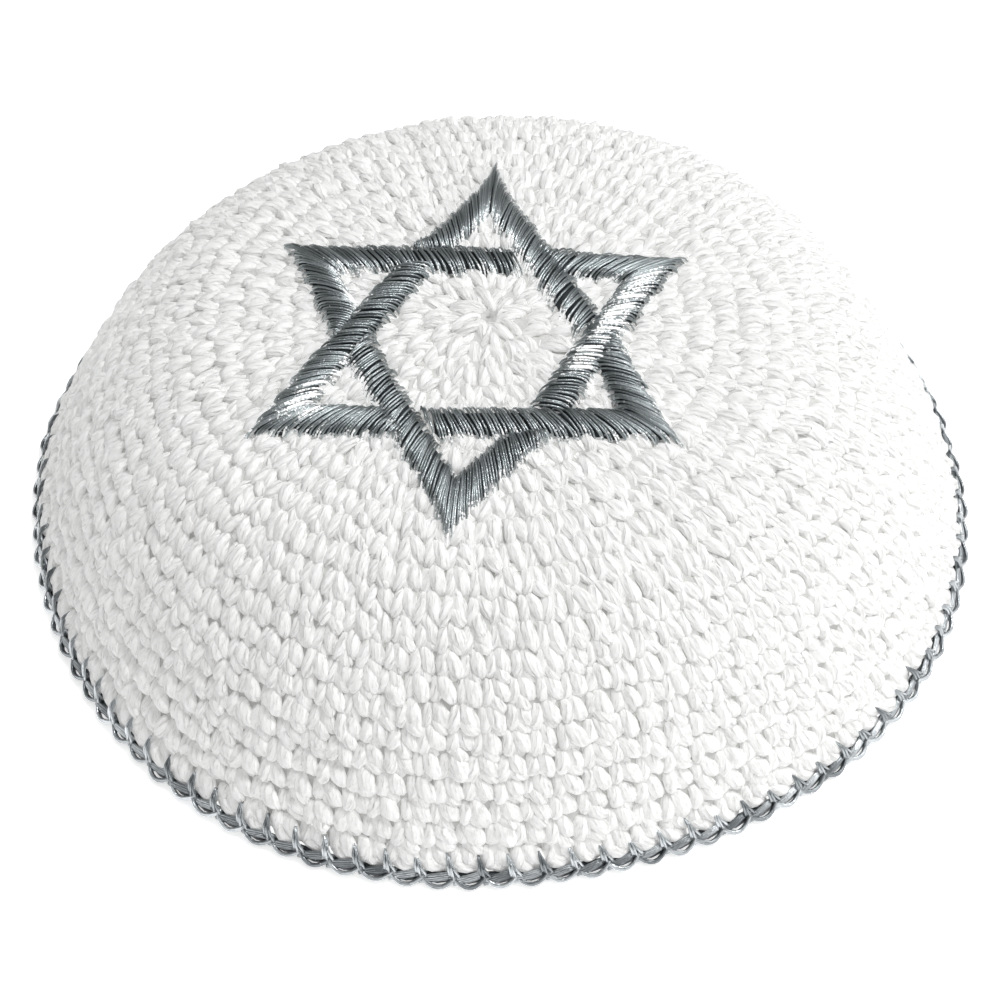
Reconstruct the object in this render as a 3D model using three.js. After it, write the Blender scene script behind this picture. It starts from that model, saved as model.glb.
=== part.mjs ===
// A crocheted skullcap with an embroidered star, lying rim down.
// Millimetres, +Z up, the front towards -Y and the right side towards +X.
// The origin is on the floor, under the middle of the rim.

import * as THREE from 'three';

// Overall form
const rimRadius = 85;
const capHeight = 48.3;
const middleOffset = -2.2; // how far right of the rim's middle the crochet starts

// Crocheted crown
const shellWall = 2.9; // from the crest of a round to the inner face
const ribDepth = 1.0; // from the crest of a round down to the groove beside it
const firstRound = 6.4; // reach of the first round, with the small hole it is worked from
const roundHeight = 4.5;
const crownFacets = 56;
const innerSteps = 14;

// Edging
const edgingHeight = 3.4; // down the slope
const edgingWall = 2.3;
const edgingInset = 0.5; // of its upper edge, behind the crest of the last round
const edgingBulge = 0.7; // of its middle, over its upper edge
const scallopDepth = 0.9;
const linkLength = 5.3;

// Embroidered star
const starRadius = 34.6; // from its middle to the middle of the band at a tip
const starRight = -2.5; // its middle, from where the crochet starts, over the cloth
const starBack = -5.9;
const bandWidth = 5.8;
const bandThickness = 1.1;
const bandEdge = 0.5; // thickness at the band's edges
const bandSteps = 4; // between one corner of a strand and the next

// Clearances
const seatGap = 0.3; // between two pieces that touch
const strandGap = 0.5; // between the end of a strand and the strand that it dives under

// Section of the cap over the crests, from the middle down to the floor,
// as shares of the rim radius and of the cap height.
const section = [
  { out: 0, up: 1 },
  { out: 0.193, up: 0.998 },
  { out: 0.385, up: 0.986 },
  { out: 0.513, up: 0.963 },
  { out: 0.576, up: 0.941 },
  { out: 0.636, up: 0.904 },
  { out: 0.692, up: 0.847 },
  { out: 0.741, up: 0.774 },
  { out: 0.824, up: 0.602 },
  { out: 0.89, up: 0.408 },
  { out: 0.947, up: 0.206 },
  { out: 1, up: 0 },
];

// The rim isn't quite round: waves of its radius, as shares of the rim radius,
// with the angle counted from the front towards the right.
const rimWaves = [
  { count: 2, cosine: -0.0283, sine: -0.0105 },
  { count: 3, cosine: 0.0071, sine: 0.0049 },
  { count: 4, cosine: -0.005, sine: -0.0127 },
];

// The star's tips, clockwise from the back one, each with the crossing that follows it.
// Reaches are shares of the star radius, angles are in degrees from the right side.
const starPoints = [
  { tip: 1.011, tipAngle: 86.2, crossing: 0.593, crossingAngle: 60.8 },
  { tip: 0.99, tipAngle: 26.6, crossing: 0.593, crossingAngle: 2.3 },
  { tip: 0.978, tipAngle: -33.8, crossing: 0.615, crossingAngle: -58.2 },
  { tip: 0.995, tipAngle: -95.7, crossing: 0.604, crossingAngle: -117.8 },
  { tip: 1.041, tipAngle: -152.5, crossing: 0.59, crossingAngle: 179.5 },
  { tip: 0.982, tipAngle: 147, crossing: 0.595, crossingAngle: 115.2 },
];

const cotton = new THREE.MeshStandardMaterial({ color: 0xf3f3f1, roughness: 0.95, metalness: 0 });
const silverThread = new THREE.MeshStandardMaterial({ color: 0x7d838a, roughness: 0.45, metalness: 0.55 });

const sectionCurve = new THREE.SplineCurve(
  section.map((row) => new THREE.Vector2(row.out * rimRadius, row.up * capHeight)),
);
const slopeLength = sectionCurve.getLength();
const crownReach = slopeLength - edgingHeight - seatGap;
const roundCount = Math.max(2, Math.round((crownReach - firstRound) / roundHeight) + 1);

// A point of the section: radius and height at a reach over the cloth, raised off the crests.
function sectionPoint(reach, raise) {
  const share = reach / slopeLength;
  const point = sectionCurve.getPointAt(share);
  const heading = sectionCurve.getTangentAt(share);
  return new THREE.Vector2(point.x - heading.y * raise, point.y + heading.x * raise);
}

function onAxis(raise) {
  return new THREE.Vector2(0, capHeight + raise);
}

function rimShape(turn) {
  let share = 1;
  for (const wave of rimWaves) {
    share += wave.cosine * Math.cos(wave.count * turn) + wave.sine * Math.sin(wave.count * turn);
  }
  return share;
}

// The middle of the box that holds the rim's outline.
function middleOfRim() {
  const outline = new THREE.Box2();
  for (let degree = 0; degree < 360; degree += 1) {
    const turn = THREE.MathUtils.degToRad(degree);
    const radius = rimRadius * rimShape(turn);
    outline.expandByPoint(new THREE.Vector2(radius * Math.sin(turn), -radius * Math.cos(turn)));
  }
  return outline.getCenter(new THREE.Vector2());
}

const rimMiddle = middleOfRim();

// Takes a point of a perfectly round cap to its place on the real one: the rim's waves
// and the offset of the crochet's start both fade out, one towards the top and one to the rim.
function settle(point) {
  const reach = Math.hypot(point.x, point.y) / rimRadius;
  const turn = Math.atan2(point.x, -point.y);
  const spread = 1 + (rimShape(turn) - 1) * reach ** 2;
  point.x = point.x * spread + middleOffset * (1 - reach ** 2) - rimMiddle.x;
  point.y = point.y * spread - rimMiddle.y;
  return point;
}

// A section turned about the vertical axis and settled, with its outer points drawn in
// between the scallops. Each row of the section is a point and its share of the scallop depth.
function turnSection(rows, segments, scallops) {
  const geometry = new THREE.LatheGeometry(rows.map((row) => row.point), segments);
  geometry.rotateX(Math.PI / 2);
  const positions = geometry.getAttribute('position');
  const point = new THREE.Vector3();
  for (let index = 0; index < positions.count; index += 1) {
    point.fromBufferAttribute(positions, index);
    const radius = Math.hypot(point.x, point.y);
    const turn = Math.atan2(point.x, -point.y);
    const share = rows[index % rows.length].scalloped;
    const drawnIn = share * scallopDepth * (0.5 - 0.5 * Math.cos(scallops * turn));
    if (drawnIn > 0) {
      point.x *= 1 - drawnIn / radius;
      point.y *= 1 - drawnIn / radius;
    }
    settle(point);
    positions.setXYZ(index, point.x, point.y, point.z);
  }
  geometry.computeVertexNormals();
  return geometry;
}

function plainRow(point) {
  return { point, scalloped: 0 };
}

// The crown: a crest and a groove for each round outside, a smooth face inside.
function crown() {
  const pitch = (crownReach - firstRound) / (roundCount - 1);
  const outside = [onAxis(-ribDepth)];
  for (let round = 0; round < roundCount; round += 1) {
    const start = round === 0 ? 0 : firstRound + (round - 1) * pitch;
    const end = firstRound + round * pitch;
    outside.push(sectionPoint((start + end) / 2, 0));
    outside.push(sectionPoint(end, -ribDepth));
  }
  const inside = [];
  for (let step = innerSteps; step > 0; step -= 1) {
    inside.push(sectionPoint(crownReach * (step / innerSteps), -shellWall));
  }
  inside.push(onAxis(-shellWall));
  const downTheOutside = [...outside, ...inside].reverse();
  return turnSection(downTheOutside.map(plainRow), crownFacets, 0);
}

// The edging: a ring under the crown's lower edge, scalloped outside and flat underneath.
function edging() {
  const top = slopeLength - edgingHeight;
  const slope = sectionCurve.getTangentAt(1);
  const footWidth = edgingWall / Math.abs(slope.y);
  const footEdge = rimRadius - edgingInset + edgingBulge / 2;
  const middle = top + edgingHeight / 2;
  const rows = [
    { point: new THREE.Vector2(footEdge - footWidth, 0), scalloped: 0 },
    { point: new THREE.Vector2(footEdge, 0), scalloped: 1 },
    { point: sectionPoint(middle, edgingBulge - edgingInset), scalloped: 1 },
    { point: sectionPoint(top, -edgingInset), scalloped: 0 },
    { point: sectionPoint(top, -edgingInset - edgingWall), scalloped: 0 },
  ];
  rows.push(rows[0]);
  const links = Math.round((2 * Math.PI * rimRadius) / linkLength);
  return turnSection(rows, 2 * links, links);
}

// A place of the star on the cloth, over the crests and settled with the crown.
function onCloth(place, raise) {
  const right = place.x + starRight;
  const back = place.y + starBack;
  const turn = Math.atan2(right, -back);
  const { x: radius, y: height } = sectionPoint(Math.hypot(right, back), raise);
  return settle(new THREE.Vector3(radius * Math.sin(turn), -radius * Math.cos(turn), height));
}

function starPlace(share, degrees) {
  const angle = THREE.MathUtils.degToRad(degrees);
  return new THREE.Vector2(Math.cos(angle), Math.sin(angle)).multiplyScalar(share * starRadius);
}

function tipPlace(number) {
  const row = starPoints.at(number % starPoints.length);
  return starPlace(row.tip, row.tipAngle);
}

function crossingPlace(number) {
  const row = starPoints.at(number % starPoints.length);
  return starPlace(row.crossing, row.crossingAngle);
}

function headingFrom(start, end) {
  return end.clone().sub(start).normalize();
}

function leftOf(heading) {
  return new THREE.Vector2(-heading.y, heading.x);
}

// Where a line beside the strand turns a corner.
function mitred(before, corner, after, offset) {
  const sideIn = leftOf(headingFrom(before, corner));
  const sideOut = leftOf(headingFrom(corner, after));
  const side = sideIn.add(sideOut).normalize();
  return corner.clone().addScaledVector(side, offset / side.dot(sideOut));
}

// Where a line beside the strand stops, short of the strand that passes over it.
function trimmed(crossing, inward, side, offset, overHeading) {
  const away = leftOf(overHeading);
  if (away.dot(inward) < 0) {
    away.negate();
  }
  const clear = bandWidth / 2 + strandGap - offset * side.dot(away);
  return crossing.clone().addScaledVector(inward, clear / inward.dot(away)).addScaledVector(side, offset);
}

// The corners of a line that runs beside strand number: from under its neighbour, round
// the tip, over the next strand and down under the one after it.
function strandLine(number, offset) {
  const start = crossingPlace(number - 1);
  const tip = tipPlace(number);
  const over = crossingPlace(number);
  const end = crossingPlace(number + 1);
  const overStart = headingFrom(tipPlace(number - 1), over);
  const overEnd = headingFrom(tipPlace(number + 1), crossingPlace(number + 2));
  const leaving = headingFrom(start, tip);
  const arriving = headingFrom(over, end);
  return [
    trimmed(start, leaving, leftOf(leaving), offset, overStart),
    mitred(start, tip, over, offset),
    mitred(tip, over, end, offset),
    trimmed(end, arriving.clone().negate(), leftOf(arriving), offset, overEnd),
  ];
}

// Closes a row of rings, each a list of points, into one body, with its ends capped by
// fans of triangles from the first point of a ring.
function loft(rings) {
  const size = rings[0].length;
  const corners = [];
  for (let ring = 1; ring < rings.length; ring += 1) {
    for (let side = 0; side < size; side += 1) {
      const next = (side + 1) % size;
      const near = (ring - 1) * size;
      const far = ring * size;
      corners.push(near + side, near + next, far + next);
      corners.push(near + side, far + next, far + side);
    }
  }
  const last = (rings.length - 1) * size;
  for (let side = 1; side < size - 1; side += 1) {
    corners.push(0, side + 1, side);
    corners.push(last, last + side, last + side + 1);
  }
  const geometry = new THREE.BufferGeometry().setFromPoints(rings.flat());
  geometry.setIndex(corners);
  geometry.computeVertexNormals();
  return geometry;
}

// One strand of the star: a flat-bottomed band with a rounded back.
function starStrand(number) {
  const left = strandLine(number, bandWidth / 2);
  const middle = strandLine(number, 0);
  const right = strandLine(number, -bandWidth / 2);
  const rings = [];
  for (let step = 0; step <= bandSteps * (middle.length - 1); step += 1) {
    const corner = Math.min(Math.floor(step / bandSteps), middle.length - 2);
    const share = step / bandSteps - corner;
    const [onLeft, onMiddle, onRight] = [left, middle, right].map(
      (line) => line[corner].clone().lerp(line[corner + 1], share),
    );
    rings.push([
      onCloth(onMiddle, seatGap),
      onCloth(onLeft, seatGap),
      onCloth(onLeft, seatGap + bandEdge),
      onCloth(onMiddle, seatGap + bandThickness),
      onCloth(onRight, seatGap + bandEdge),
      onCloth(onRight, seatGap),
    ]);
  }
  return loft(rings);
}

function addPiece(group, name, geometry, material) {
  const mesh = new THREE.Mesh(geometry, material);
  mesh.name = name;
  group.add(mesh);
}

const skullcap = new THREE.Group();
addPiece(skullcap, 'crown', crown(), cotton);
addPiece(skullcap, 'edging', edging(), silverThread);
for (let number = 0; number < starPoints.length; number += 1) {
  addPiece(skullcap, `star_strand_${number + 1}`, starStrand(number), silverThread);
}

export default skullcap;
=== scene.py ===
"""A white crocheted skullcap with a star embroidered in metallic thread, lying rim down.

The cap's form is worked out in millimetres, as the cap was crocheted: from its middle, round
by round over the cloth. Geometry Nodes lay the stitches, the edging's links and the star's
threads, and every piece ends as a plain mesh in metres.
"""

import logging
from dataclasses import dataclass
from enum import Enum
from math import pi

import bpy
import numpy as np
from bpy.types import Material, Mesh, Node, NodeSocket, NodeTree, Object
from mathutils import Matrix, Vector


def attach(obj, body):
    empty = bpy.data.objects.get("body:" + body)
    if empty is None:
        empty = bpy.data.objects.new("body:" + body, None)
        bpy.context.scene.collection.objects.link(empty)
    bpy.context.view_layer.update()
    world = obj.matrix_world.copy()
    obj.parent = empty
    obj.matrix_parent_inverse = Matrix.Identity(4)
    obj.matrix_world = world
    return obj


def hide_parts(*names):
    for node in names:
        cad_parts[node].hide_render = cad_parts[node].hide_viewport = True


MM = 0.001
THINNEST = 0.05  # radius of a yarn or thread, mm
LOG = logging.getLogger("skullcap")

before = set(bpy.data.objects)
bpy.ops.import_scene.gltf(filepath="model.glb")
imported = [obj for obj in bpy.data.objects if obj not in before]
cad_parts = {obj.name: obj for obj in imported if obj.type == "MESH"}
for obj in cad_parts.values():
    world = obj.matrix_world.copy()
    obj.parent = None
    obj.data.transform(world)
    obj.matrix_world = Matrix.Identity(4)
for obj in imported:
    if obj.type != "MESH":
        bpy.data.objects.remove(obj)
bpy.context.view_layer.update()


class Slot(Enum):
    """The record's material slots."""

    COTTON = "white_cotton"
    THREAD = "silver_thread"


class Attribute(Enum):
    """Names of the values that the points of a pattern carry."""

    OUTWARD = "outward"
    HEADING = "heading"
    UPHILL = "uphill"
    SIZE = "size"
    THICKNESS = "thickness"
    TONE = "tone"
    PAINTED_GLINTS = "flecks"


def linear(code: str) -> tuple[float, float, float, float]:
    """Turns an sRGB hex colour into a linear one.

    Args:
        code: The colour as six hex digits.

    Returns:
        Red, green, blue and an alpha of one.
    """
    shares = [int(code[place : place + 2], 16) / 255 for place in (0, 2, 4)]
    parts = [s / 12.92 if s <= 0.04045 else ((s + 0.055) / 1.055) ** 2.4 for s in shares]
    return (*parts, 1.0)


class Nodes:
    """A node tree, with short ways to add what the finishes and the patterns are made of."""

    def __init__(self, tree: NodeTree) -> None:
        """Takes the tree that gets the nodes."""
        self.tree = tree

    def add(
        self,
        kind: str,
        settings: dict[str, object] | None = None,
        inputs: dict[int | str, object] | None = None,
    ) -> Node:
        """Adds a node with its settings, and fills or links its inputs.

        Args:
            kind: Blender's name of the node's type.
            settings: Properties of the node.
            inputs: For each input, by name or number, a value or the socket to link.

        Returns:
            The new node.
        """
        node = self.tree.nodes.new(kind)
        for name, value in (settings or {}).items():
            setattr(node, name, value)
        for name, value in (inputs or {}).items():
            if isinstance(value, NodeSocket):
                self.tree.links.new(value, node.inputs[name])
            else:
                node.inputs[name].default_value = value
        return node

    def math(self, operation: str, *values: float | NodeSocket) -> NodeSocket:
        """Works out a number from up to three others."""
        settings = {"operation": operation}
        return self.add("ShaderNodeMath", settings, dict(enumerate(values))).outputs[0]

    def vector_math(self, operation: str, inputs: dict[int | str, object]) -> NodeSocket:
        """Works out a vector from its inputs."""
        return self.add("ShaderNodeVectorMath", {"operation": operation}, inputs).outputs[0]


class Finish(Nodes):
    """A new material's node tree, with short ways to add what the finishes share."""

    def __init__(self, name: str) -> None:
        """Makes a material with an empty tree."""
        self.material = bpy.data.materials.new(name)
        self.material.use_nodes = True
        super().__init__(self.material.node_tree)
        self.tree.nodes.clear()

    def carried(self, attribute: Attribute, output: str = "Fac") -> NodeSocket:
        """Reads a value that the mesh carries, as a number unless the output says otherwise."""
        settings = {"attribute_name": attribute.value}
        return self.add("ShaderNodeAttribute", settings).outputs[output]

    def noise(self, size: float) -> NodeSocket:
        """Lays a noise in object coordinates, with waves of about the size in millimetres."""
        spot = self.add("ShaderNodeTexCoord").outputs["Object"]
        inputs = {"Vector": spot, "Scale": 1 / (size * MM), "Detail": 2.0}
        return self.add("ShaderNodeTexNoise", inputs=inputs).outputs[0]

    def bump(
        self, depth: float, height: NodeSocket, under: NodeSocket | None = None
    ) -> NodeSocket:
        """Raises the surface by up to the depth in millimetres, over another bump if given."""
        inputs = {"Distance": depth * MM, "Height": height}
        if under is not None:
            inputs["Normal"] = under
        return self.add("ShaderNodeBump", inputs=inputs).outputs[0]

    def blend(self, share: NodeSocket, low: object, high: object) -> NodeSocket:
        """Mixes two colours, each a value or a socket."""
        inputs = {0: share, 6: low, 7: high}
        return self.add("ShaderNodeMix", {"data_type": "RGBA"}, inputs).outputs[2]

    def ramp(self, value: NodeSocket, ends: tuple[float, float]) -> NodeSocket:
        """Stretches the values between two ends so that they reach from nought to one."""
        inputs = {"Value": value, "From Min": ends[0], "From Max": ends[1]}
        return self.add("ShaderNodeMapRange", inputs=inputs).outputs[0]

    def close(self, inputs: dict[str, object]) -> Material:
        """Ends the tree with a Principled surface and gives the material."""
        surface = self.add("ShaderNodeBsdfPrincipled", inputs=inputs)
        self.add("ShaderNodeOutputMaterial", inputs={0: surface.outputs[0]})
        return self.material


@dataclass(frozen=True)
class CottonYarn:
    """Plied matte cotton yarn: soft, white, with shallow grooves between its plies."""

    name: str = "plied_cotton_yarn"
    light: str = "fbfbfa"
    # painted shade of the hollows between the fibres, mixed in by the fibre noise
    shade: str = "dcdcda"
    plies: int = 6
    ply_rise: float = 15.0  # length of yarn for one turn of a ply, mm
    ply_shape: float = 0.6  # power of a ply's section, lower where it is flatter on top
    girth: float = 6.6  # mm round the yarn
    groove_depth: float = 0.12  # mm
    fibre_depth: float = 0.4  # mm
    fibre_width: float = 0.6  # mm, coarser than a cotton fibre so that it shows
    fibre_length: float = 1.5  # mm
    fibre_detail: float = 3.0
    fibre_roughness: float = 0.65
    fibre_shade: tuple[float, float] = (0.36, 0.52)  # heights at which a fibre is shade and light
    stitches_apart: float = 900.0  # between the fibres of two stitches, so that none are alike
    roughness: float = 0.88
    fuzz: float = 0.4
    fuzz_roughness: float = 0.6
    painted_glow: float = 0.15  # painted glow that lifts the shade in the stitches' creases

    def build(self) -> Material:
        """Builds the material on the yarn's own UV map, in millimetres along and turns around."""
        finish = Finish(self.name)
        place = finish.add("ShaderNodeUVMap", {"uv_map": "UVMap"})
        split = finish.add("ShaderNodeSeparateXYZ", inputs={0: place.outputs["UV"]})
        along, around = split.outputs["X"], split.outputs["Y"]
        turned = finish.math("MULTIPLY", along, self.plies / self.ply_rise)
        phase = finish.math("MULTIPLY_ADD", around, float(self.plies), turned)
        wave = finish.math("SINE", finish.math("MULTIPLY", phase, pi))
        rounded = finish.math("POWER", finish.math("ABSOLUTE", wave), self.ply_shape)
        grooves = finish.bump(self.groove_depth, rounded)
        crosswise = self.girth / self.plies / self.fibre_width
        apart = finish.math("MULTIPLY", finish.carried(Attribute.TONE), self.stitches_apart)
        lay = {
            0: finish.math("DIVIDE", along, self.fibre_length),
            1: finish.math("MULTIPLY", phase, crosswise),
            2: apart,
        }
        noise = {
            "Vector": finish.add("ShaderNodeCombineXYZ", inputs=lay).outputs[0],
            "Scale": 1.0,
            "Detail": self.fibre_detail,
            "Roughness": self.fibre_roughness,
        }
        fibres = finish.add("ShaderNodeTexNoise", inputs=noise).outputs[0]
        lit = finish.ramp(fibres, self.fibre_shade)
        return finish.close(
            {
                "Base Color": finish.blend(lit, linear(self.shade), linear(self.light)),
                "Roughness": self.roughness,
                "Sheen Weight": self.fuzz,
                "Sheen Roughness": self.fuzz_roughness,
                # painted glow in the yarn's own colour
                "Emission Color": linear(self.light),
                "Emission Strength": self.painted_glow,
                "Normal": finish.bump(self.fibre_depth, fibres, grooves),
            }
        )


@dataclass(frozen=True)
class CottonGround:
    """The yarn deep between the stitches, seen through the gaps: the same cotton, in shade."""

    name: str = "cotton_between_stitches"
    colour: str = "d9d9d7"
    lump_size: float = 0.9  # mm
    lump_depth: float = 0.3  # mm
    roughness: float = 0.95

    def build(self) -> Material:
        """Builds the material in object coordinates."""
        finish = Finish(self.name)
        return finish.close(
            {
                "Base Color": linear(self.colour),
                "Roughness": self.roughness,
                "Normal": finish.bump(self.lump_depth, finish.noise(self.lump_size)),
            }
        )


@dataclass(frozen=True)
class MetallicThread:
    """Lurex thread: metallised film round a core, dark slate until a light glints along it."""

    name: str
    dark: str
    light: str
    roughness: float
    coat: float = 0.0
    stretch: float = 0.0  # of the glint, across the thread
    stretch_turn: float = 0.25  # of a full turn, from along the thread to across it
    coat_roughness: float = 0.16
    kink_size: float = 0.34  # mm, of the kinks in the film
    kink_depth: float = 0.12  # mm
    # painted glints: white spots that glow and are not metallic
    painted_glint_colour: str = "ffffff"
    painted_glint_size: float = 0.45  # mm, of the painted glints, for film facets throwing a lamp's light back
    painted_glint_share: float = 0.42  # how many more painted glints there are where their attribute is one
    painted_glint_edge: tuple[float, float] = (0.71, 0.78)  # where a painted glint starts and where it is whole
    painted_glint_glow: float = 0.35  # painted glow of a glint, over a white card in the same light

    def build(self) -> Material:
        """Builds the material in object coordinates: each thread's tone and painted glint spots."""
        finish = Finish(self.name)
        kinks = finish.bump(self.kink_depth, finish.noise(self.kink_size))
        tone, amount = finish.carried(Attribute.TONE), finish.carried(Attribute.PAINTED_GLINTS)
        # the tone is partly each thread's own and partly painted glint
        film = finish.blend(tone, linear(self.dark), linear(self.light))
        painted_glint_noise = finish.noise(self.painted_glint_size)
        facing = finish.math("MULTIPLY_ADD", amount, self.painted_glint_share, painted_glint_noise)
        flecks = finish.ramp(facing, self.painted_glint_edge)
        inputs = {
            "Base Color": finish.blend(flecks, film, linear(self.painted_glint_colour)),
            "Emission Color": linear(self.painted_glint_colour),
            "Emission Strength": finish.math("MULTIPLY", flecks, self.painted_glint_glow),
            "Metallic": finish.math("SUBTRACT", 1.0, flecks),
            "Roughness": self.roughness,
            "Coat Weight": self.coat,
            "Coat Roughness": self.coat_roughness,
            "Coat Normal": kinks,
            "Normal": kinks,
        }
        if self.stretch:
            inputs["Tangent"] = finish.carried(Attribute.HEADING, "Vector")
            inputs["Anisotropic"] = self.stretch
            inputs["Anisotropic Rotation"] = self.stretch_turn
        return finish.close(inputs)


@dataclass(frozen=True)
class PaleFloor:
    """Smooth white photographic board, lit evenly enough to show no shadow."""

    name: str = "white_board"
    colour: str = "ffffff"
    roughness: float = 0.9
    glow: float = 0.6

    def build(self) -> Material:
        """Builds the material."""
        return Finish(self.name).close(
            {
                "Base Color": linear(self.colour),
                "Roughness": self.roughness,
                "Specular IOR Level": 0.0,
                "Emission Color": linear(self.colour),
                "Emission Strength": self.glow,
            }
        )


def unit(rows: np.ndarray) -> np.ndarray:
    """Gives a vector, or each row of several, the length one."""
    return rows / np.linalg.norm(rows, axis=-1, keepdims=True)


def curve(points: np.ndarray | list[np.ndarray], share: np.ndarray) -> np.ndarray:
    """Draws a smooth curve between the middle two of four points.

    Args:
        points: The point before, the start, the end and the point after.
        share: The places between the start and the end, from nought to one.

    Returns:
        A row for each place.
    """
    before, start, end, after = points
    leaving, arriving = (end - before) / 2, (after - start) / 2
    return (
        (2 * start - 2 * end + leaving + arriving) * share**3
        + (3 * end - 3 * start - 2 * leaving - arriving) * share**2
        + leaving * share
        + start
    )


@dataclass
class CapForm:
    """The cap's form over the crests of its rounds, in millimetres.

    A place on the cloth is a reach from where the crochet starts and a turn from the front
    towards the right. The section holds shares of the rim radius and of the cap height. Each
    rim wave is how many go round, and their shares along the cosine and the sine.
    """

    rim_radius: float = 85.0
    cap_height: float = 48.3
    middle_offset: float = -2.2
    section: tuple[tuple[float, float], ...] = (
        (0, 1), (0.193, 0.998), (0.385, 0.986), (0.513, 0.963), (0.576, 0.941), (0.636, 0.904),
        (0.692, 0.847), (0.741, 0.774), (0.824, 0.602), (0.89, 0.408), (0.947, 0.206), (1, 0),
    )
    rim_waves: tuple[tuple[int, float, float], ...] = (
        (2, -0.0283, -0.0105), (3, 0.0071, 0.0049), (4, -0.005, -0.0127),
    )
    steps_per_row: int = 40
    reach_nudge: float = 0.2  # to each side of a place, to find how the cloth lies there
    turn_nudge: float = 0.01

    def __post_init__(self) -> None:
        """Lays out the section and finds the middle of the rim."""
        rows = np.array(self.section) * (self.rim_radius, self.cap_height)
        held = np.vstack([rows[:1], rows, rows[-1:]])
        share = np.linspace(0, 1, self.steps_per_row, endpoint=False)[:, None]
        spans = [curve(held[row : row + 4], share) for row in range(len(rows) - 1)]
        self.outline = np.vstack([*spans, rows[-1:]])
        strides = np.linalg.norm(np.diff(self.outline, axis=0), axis=1)
        self.reaches = np.concatenate([[0.0], np.cumsum(strides)])
        self.slope_length = float(self.reaches[-1])
        self.headings = unit(np.gradient(self.outline, self.reaches, axis=0))
        turns = np.radians(np.arange(360))
        radius = self.rim_radius * self.rim_share(turns)
        rim = np.stack([radius * np.sin(turns), -radius * np.cos(turns)])
        self.rim_middle = (rim.max(axis=1) + rim.min(axis=1)) / 2

    def rim_share(self, turn: np.ndarray) -> np.ndarray:
        """The rim's radius at each turn, as a share of the rim radius."""
        waves = [c * np.cos(n * turn) + s * np.sin(n * turn) for n, c, s in self.rim_waves]
        return 1 + np.sum(waves, axis=0)

    def place(self, reach: np.ndarray, turn: np.ndarray, lift: np.ndarray | float) -> np.ndarray:
        """Finds places over the cloth.

        Args:
            reach: Millimetres from the start of the crochet, over the cloth.
            turn: Radians from the front towards the right.
            lift: Millimetres out from the crests of the rounds.

        Returns:
            One row of x, y and z in millimetres for each place.
        """
        reach, turn, lift = np.broadcast_arrays(
            np.asarray(reach, float), np.asarray(turn, float), np.asarray(lift, float)
        )
        out, up = (np.interp(reach, self.reaches, self.outline[:, side]) for side in (0, 1))
        run, rise = (np.interp(reach, self.reaches, self.headings[:, side]) for side in (0, 1))
        out, up = out - rise * lift, up + run * lift
        fade = (out / self.rim_radius) ** 2
        spread = 1 + (self.rim_share(turn) - 1) * fade
        right = out * spread * np.sin(turn) + self.middle_offset * (1 - fade)
        back = -out * spread * np.cos(turn)
        return np.stack([right - self.rim_middle[0], back - self.rim_middle[1], up], axis=-1)

    def over(self, right: np.ndarray, back: np.ndarray, lift: np.ndarray | float) -> np.ndarray:
        """Finds places over the cloth from millimetres right of and behind its middle."""
        return self.place(np.hypot(right, back), np.arctan2(right, -back), lift)

    def directions(self, reach: np.ndarray, turn: np.ndarray) -> tuple[np.ndarray, np.ndarray]:
        """Finds how the cloth lies: the unit vectors out of it and up its slope."""
        above, below = (self.place(reach + way * self.reach_nudge, turn, 0) for way in (-1, 1))
        right, left = (self.place(reach, turn + way * self.turn_nudge, 0) for way in (1, -1))
        uphill = above - below
        return unit(np.cross(right - left, uphill)), unit(uphill)

    def width(self, reach: np.ndarray, turn: np.ndarray, count: int) -> np.ndarray:
        """How wide each copy is at its place, in millimetres, where a count of them goes round."""
        right, left = (self.place(reach, turn + way * pi / count, 0) for way in (1, -1))
        return np.linalg.norm(right - left, axis=1)


def smoothed(path: np.ndarray, count: int) -> np.ndarray:
    """Resamples a path on one smooth curve.

    Args:
        path: A row for each point, with whatever values go with it.
        count: How many points to keep.

    Returns:
        The new rows.
    """
    held = np.vstack([2 * path[0] - path[1], path, 2 * path[-1] - path[-2]])
    places = np.linspace(0, len(path) - 1, count)
    whole = np.minimum(places.astype(int), len(path) - 2)
    return curve([held[whole + step] for step in range(4)], (places - whole)[:, None])


def skin(first: int, rings: int, sides: int, closed: bool) -> list[tuple[int, ...]]:
    """Lists the faces over rings of points.

    Args:
        first: The number of the first point.
        rings: How many rings there are.
        sides: How many points a ring has.
        closed: True where the last ring joins the first, or else the ends are capped.

    Returns:
        The numbers of each face's points.
    """
    faces = []
    for ring in range(rings if closed else rings - 1):
        near, far = first + ring * sides, first + (ring + 1) % rings * sides
        for side in range(sides):
            after = (side + 1) % sides
            faces.append((near + side, near + after, far + after, far + side))
    if not closed:
        last = first + (rings - 1) * sides
        faces.append(tuple(first + side for side in reversed(range(sides))))
        faces.append(tuple(last + side for side in range(sides)))
    return faces


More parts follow.
